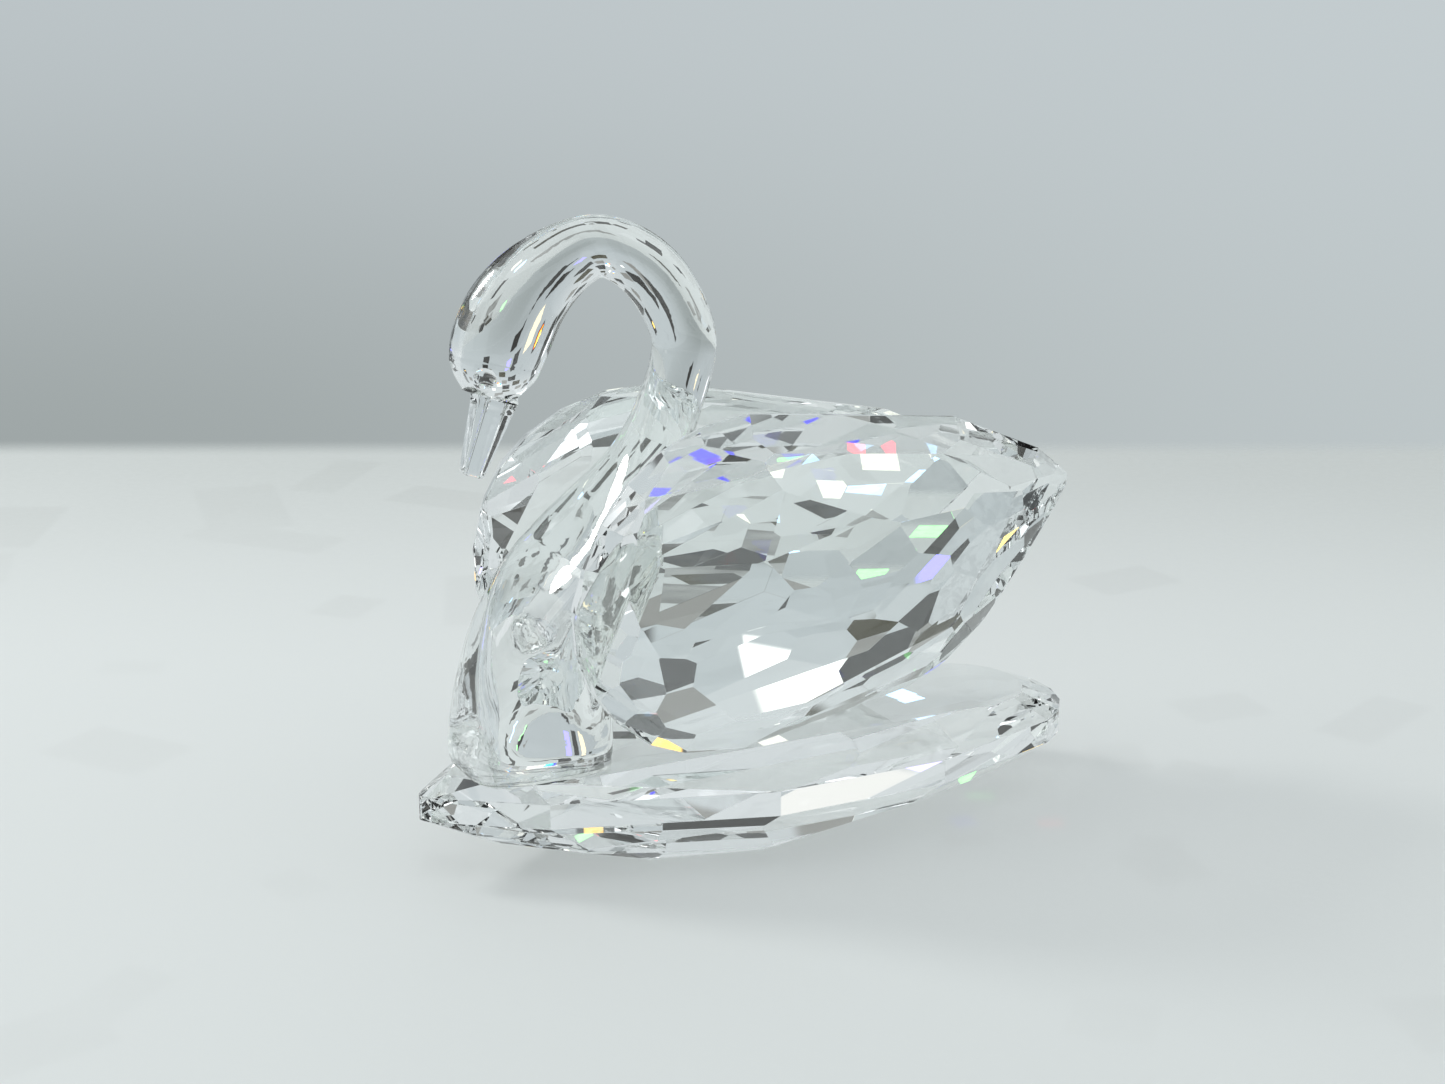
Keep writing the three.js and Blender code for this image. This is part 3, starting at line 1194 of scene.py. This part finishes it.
@dataclass(frozen=True)
class Patch:
    """A flat card on the floor, placed as it lies before the camera.

    Attributes:
        right: how far to the right its middle is, in millimetres.
        back: how far to the back, in millimetres.
        width: its width, in millimetres.
        depth: its depth, in millimetres.
        turn: its turn, in degrees.
    """

    right: float
    back: float
    width: float
    depth: float
    turn: float = 0.0

    def corners(self) -> list[Vector]:
        """Lays the card out.

        Returns:
            Its four corners, in metres.
        """
        turned = Matrix.Rotation(math.radians(self.turn), 3, "Z")
        middle = Vector((self.right, self.back, 0.0)) * MM
        half_w, half_d = self.width / 2 * MM, self.depth / 2 * MM
        signs = ((-1, -1), (1, -1), (1, 1), (-1, 1))
        return [middle + turned @ Vector((a * half_w, b * half_d, 0.0)) for a, b in signs]


@dataclass(frozen=True)
class Studio:
    """The pale floor, the soft surrounding light and the camera.

    Attributes:
        azimuth: the camera's direction round the object, in degrees from -Y towards +X.
        elevation: its height, in degrees.
        distance: how far it is from its target, in metres.
        target: the point that it looks at, in metres.
        lens: its focal length for a 36 mm wide picture, in millimetres.
    """

    azimuth: float = -27.0
    elevation: float = 16.0
    distance: float = 0.25
    target: tuple[float, float, float] = (-0.0024, 0.00133, 0.0294)
    lens: float = 62.28

    def windows(self) -> list[Window]:
        """Sets out the lights and dark screens round the object.

        Returns:
            The windows, in the order in which they are laid.
        """
        dark: Colour = (0.05, 0.05, 0.048)
        olive: Colour = (0.075, 0.07, 0.045)
        grey: Colour = (0.30, 0.30, 0.285)
        rows = [
            (-30, 60, 46, 20, (1.7, 1.75, 1.8)), (155, 57, 6, 3, (0.98, 0.98, 0.95)),
            (151, 25, 4, 5, (1.8, 1.8, 1.7)), (142, 5, 8, 8, dark),
            (149, 6, 1.6, 1.6, (1.8, 1.8, 1.75)), (-155, 20, 11, 10, dark),
            (158, 16, 5, 4, (1.8, 1.8, 1.75)), (157, 38, 10, 8, grey), (148, -1, 9, 3.4, grey),
            (163, 12, 5, 5, grey), (140, 12, 7, 6, grey), (-179, 25, 8, 6, grey),
            (122, 13, 6, 5, grey), (-170, 20, 6, 6, grey), (108, 32, 9, 8, grey),
            (88, 42, 10, 10, grey), (-130, 42, 12, 10, grey), (150, 16, 5, 3, grey),
            (60, 36, 10, 20, (1.5, 1.55, 1.6)), (-100, 35, 20, 36, (1.8, 1.8, 1.75)),
            (-150, 10, 5, 9, (1.8, 1.8, 1.9)), (-27, 10, 80, 26, (0.07, 0.07, 0.065)),
            (12, 34, 26, 12, (0.06, 0.06, 0.06)), (-72, 32, 16, 30, (0.07, 0.07, 0.065)),
            (100, 16, 24, 14, (0.07, 0.07, 0.07)), (165, 21, 8, 9, dark), (166, 31, 9, 5, olive),
            (176, 16, 9, 7, olive), (170, 9, 8, 5, dark), (161, 4, 6, 5, olive),
            (146, -4, 6, 6, dark), (170, -1, 4, 4, dark), (166, -6, 4, 3, dark),
            (-158, 11, 9, 8, dark), (-165, 30, 9, 8, dark), (-175, 1, 4, 4, dark),
            (126, 24, 8, 8, dark), (114, 5, 7, 8, dark), (140, 0, 5, 3, dark),
            (-174, 1.5, 3.2, 1.8, (2.6, 1.8, 0.5), 0.5), (165, -1.2, 3.0, 2.2, (0.7, 0.65, 2.8)),
            (152, 63, 3, 2.4, (1.3, 1.15, 2.4)), (115, 3.5, 3, 2, (2.6, 1.6, 0.4)),
            (177, -2, 5, 3, (1.5, 1.3, 0.9)), (158, 14, 3, 2, (2.4, 2.2, 1.9), 0.8, 30),
            (144, 22, 3, 2, (2.2, 2.2, 2.6), 0.8, -40),
        ]
        return [Window(*row) for row in rows]

    def camera(self) -> None:
        """Adds the camera."""
        out = way(self.azimuth, self.elevation)
        data = bpy.data.cameras.new("camera")
        data.sensor_width = 36.0
        data.lens = self.lens
        data.clip_start, data.clip_end = 0.005, 20.0
        camera = set_out("camera", data)
        camera.location = Vector(self.target) + out * self.distance
        camera.rotation_euler = out.to_track_quat("Z", "Y").to_euler()
        bpy.context.scene.camera = camera

    def _lay(self, mesh: bpy.types.Mesh, drop: float, material: bpy.types.Material) -> bpy.types.Object:
        """Lays a flat mesh out under the swan, square to the camera.

        Args:
            mesh: the mesh.
            drop: how far below the base it lies, in metres.
            material: what it is made of.

        Returns:
            The object.
        """
        flat = set_out(mesh.name, mesh)
        flat.rotation_euler = (0.0, 0.0, math.radians(self.azimuth))
        flat.location = (0.0, 0.0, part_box("base")[0].z - drop)
        mesh.materials.append(material)
        return flat

    def floor(self) -> None:
        """Adds the floor: a wide board whose soft back edge faces the camera squarely."""
        board = PaleBoard()
        front, side = -1.2, 1.2
        corners = [(-side, front, 0), (side, front, 0), (side, board.depth, 0), (-side, board.depth, 0)]
        self._lay(mesh_from("floor", corners, [(0, 1, 2, 3)]), 0.3 * MM, board.material())

    def _lay_cards(
        self, name: str, patches: Sequence[Patch], material: bpy.types.Material, drop: float = 0.1 * MM
    ) -> None:
        """Lays small cards on the floor, which only the crystal sees.

        Args:
            name: the cards' name.
            patches: where the cards lie.
            material: what they are made of.
            drop: how far below the base they lie, in metres.
        """
        points = [corner for patch in patches for corner in patch.corners()]
        faces = [tuple(range(i, i + 4)) for i in range(0, len(points), 4)]
        cards = self._lay(mesh_from(name, points, faces), drop, material)
        cards.visible_camera = cards.visible_diffuse = cards.visible_shadow = False

    def grey_cards(self) -> None:
        """Scatters grey cards round the swan, which only the crystal sees: painted shade in its facets.
        """
        rng = np.random.default_rng(5)
        shade_patches = []
        for _ in range(34):
            away, turn = rng.uniform(45.0, 160.0), rng.uniform(0.0, 2 * math.pi)
            width, depth = away * rng.uniform(0.08, 0.2), away * rng.uniform(0.05, 0.14)
            middle = away * math.cos(turn), away * math.sin(turn)
            shade_patches.append(Patch(*middle, width, depth, rng.uniform(0.0, 180.0)))
        # painted shade: grey cards seen only in the crystal, for its grey facets
        shade_card = PaintedShadeCard("grey shade card", (0.20, 0.20, 0.19), (0.42, 0.43, 0.42), 12.0, 0.2)
        self._lay_cards("grey_shade_cards", shade_patches, shade_card.material(), 0.15 * MM)

    def dark_cards(self) -> None:
        """Adds dark cards, which only the crystal sees, as painted shade in its facets: a large one in
        front and small ones behind and beside the swan.
        """
        # painted shade: dark cards seen only in the crystal, for its dark facets
        shade_card = PaintedShadeCard(
            "dark shade card", (0.035, 0.036, 0.038), (0.09, 0.09, 0.085), 9.0, 0.1, (0.085, 0.08, 0.055)
        )
        rows = [
            (0, -620, 1800, 970), (14, 150, 14, 12, 20), (28, 148, 10, 18, -15),
            (12, 92, 11, 7, 35), (19, 132, 10, 9, 10), (-9, 57, 9, 11, 25), (-18, 55, 6, 7, -10),
            (41, -12, 7, 8, 20), (41, 18, 6, 8, 5), (-16, 32, 6, 5, 40), (-30, -12, 5, 6),
            (-45, 128, 16, 10, -25), (52, 85, 13, 9, 30), (-34, 84, 10, 8, 15), (72, 30, 16, 7, 50),
            (-70, 20, 14, 10, -30), (62, -45, 14, 10, 10), (-62, -50, 15, 9, 40),
            (-6, -85, 16, 8, 10), (-36, 76, 7, 22, 5), (-2, 64, 6, 8, 20), (7, 46, 4, 4, 20),
            (55, 34, 10, 8, 20), (-52, 73, 7, 9, -20), (-12.5, 4, 2.2, 2.2), (-110, 112, 18, 22),
            (22, -5.5, 5, 3), (41, -6.5, 5, 3),
        ]
        self._lay_cards("dark_shade_cards", [Patch(*row) for row in rows], shade_card.material())

    def bright_cards(self) -> None:
        """Adds small lit gels: white for the highlights, coloured for the crystal's fire."""
        white = [Patch(6, 74, 5, 7, 10), Patch(2, 3, 3, 3, 30)]
        sky = [Patch(16.5, 17.5, 3, 4, 40), Patch(1, 87, 5, 6)]
        green = [Patch(-7.5, 152, 5, 10), Patch(24.5, 6.5, 3, 2)]
        gels: list[tuple[str, Colour, list[Patch]]] = [
            ("white", (1.4, 1.4, 1.25), white),
            ("blue", (0.08, 0.06, 1.6), [Patch(22, -0.5, 2.4, 2.8, 20)]),
            ("sky", (1.2, 1.8, 2.6), sky),
            ("green", (0.8, 2.4, 0.8), green),
            ("red", (2.6, 0.5, 0.6), [Patch(31, -1, 2.5, 2)]),
        ]
        for name, light, patches in gels:
            self._lay_cards(f"{name}_gel", patches, Gel(f"{name} gel", light).material())

    def world(self) -> None:
        """Adds the surrounding light: a soft grey room with lights and dark screens."""
        world = bpy.data.worlds.new("studio")
        world.use_nodes = True
        bpy.context.scene.world = world
        bench = NodeBench(world.node_tree)
        direction = bench.add("ShaderNodeTexCoord", output="Generated")
        height = direction.dot((0.0, 0.0, 1.0))
        a = math.radians(self.azimuth)
        right = direction.dot((math.cos(a), math.sin(a), 0.0))
        wall = bench.mix(right.step(-0.35, 0.35), (0.335, 0.372, 0.372), (0.515, 0.568, 0.580))
        raised = bench.mix(right.step(-0.35, 0.35), (0.50, 0.55, 0.57), (0.55, 0.605, 0.625))
        room = bench.mix(height.step(-0.25, -0.05), wall, raised)
        light = bench.mix(height.step(-0.02, 0.5), room, (0.70, 0.74, 0.755))
        for window in self.windows():
            light = window.add_to(bench, direction, light)
        seen = bench.add("ShaderNodeLightPath", output="Is Camera Ray")
        light = bench.mix(seen, light, room)
        shader = bench.add("ShaderNodeBackground", None, {"Color": light, "Strength": 1.0})
        bench.add("ShaderNodeOutputWorld", None, {"Surface": shader})
        world.cycles.sampling_method = "MANUAL"
        world.cycles.sample_map_resolution = 512

    def key_light(self) -> None:
        """Adds the soft lamp that gives the swan its shadow."""
        data = bpy.data.lights.new("key", "AREA")
        data.shape = "DISK"
        data.size = 0.16
        data.energy = 1.3
        data.color = (1.0, 0.985, 0.96)
        lamp = set_out("key", data)
        lamp.location = (-0.32, 0.30, 0.38)
        lamp.rotation_euler = Vector(lamp.location).to_track_quat("Z", "Y").to_euler()
        lamp.visible_transmission = False

    def build(self) -> None:
        """Adds the camera, floor and lights, and sets how light is followed through the crystal."""
        self.camera()
        self.floor()
        self.grey_cards()
        self.dark_cards()
        self.bright_cards()
        self.world()
        self.key_light()
        scene = bpy.context.scene
        scene.view_settings.view_transform = "Standard"
        cycles = scene.cycles
        cycles.max_bounces = cycles.transmission_bounces = 28
        cycles.glossy_bounces = 12
        cycles.diffuse_bounces = 3
        cycles.transparent_max_bounces = 8
        cycles.caustics_reflective, cycles.caustics_refractive = False, True
        cycles.blur_glossy = 0.3
        cycles.sample_clamp_indirect = 6.0
        cycles.use_denoising = True


# ---- The swan ----


def plain(box: Sequence[Vector]) -> list[list[float]]:
    """A box's corners as plain lists of numbers."""
    return [[float(part) for part in corner] for corner in box]


def main() -> None:
    """Builds the studio and the swan."""
    logging.basicConfig(level=logging.INFO, format="%(name)s %(message)s")
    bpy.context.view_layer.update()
    Studio().build()
    cut = Crystal("cut crystal").material()
    pressed = Crystal(
        "pressed crystal", haze=0.02, ripple=0.00009, ripple_size=4.5, stretch=(1.0, 1.0, 0.35)
    ).material()
    adhesive = Adhesive().material()
    CutStone("base", "cut_base").build(cut)
    CutWing("left_wing", "cut_wing_left", bond="left_wing_bond").build(cut)
    CutWing("right_wing", "cut_wing_right", bond="right_wing_bond").build(cut)
    Neck().build(pressed)
    for node, name in (
        ("foot_bond", "film_foot"),
        ("left_wing_bond", "film_wing_left"),
        ("right_wing_bond", "film_wing_right"),
    ):
        Film(node, name).build(adhesive)


if __name__ == "__main__":
    main()
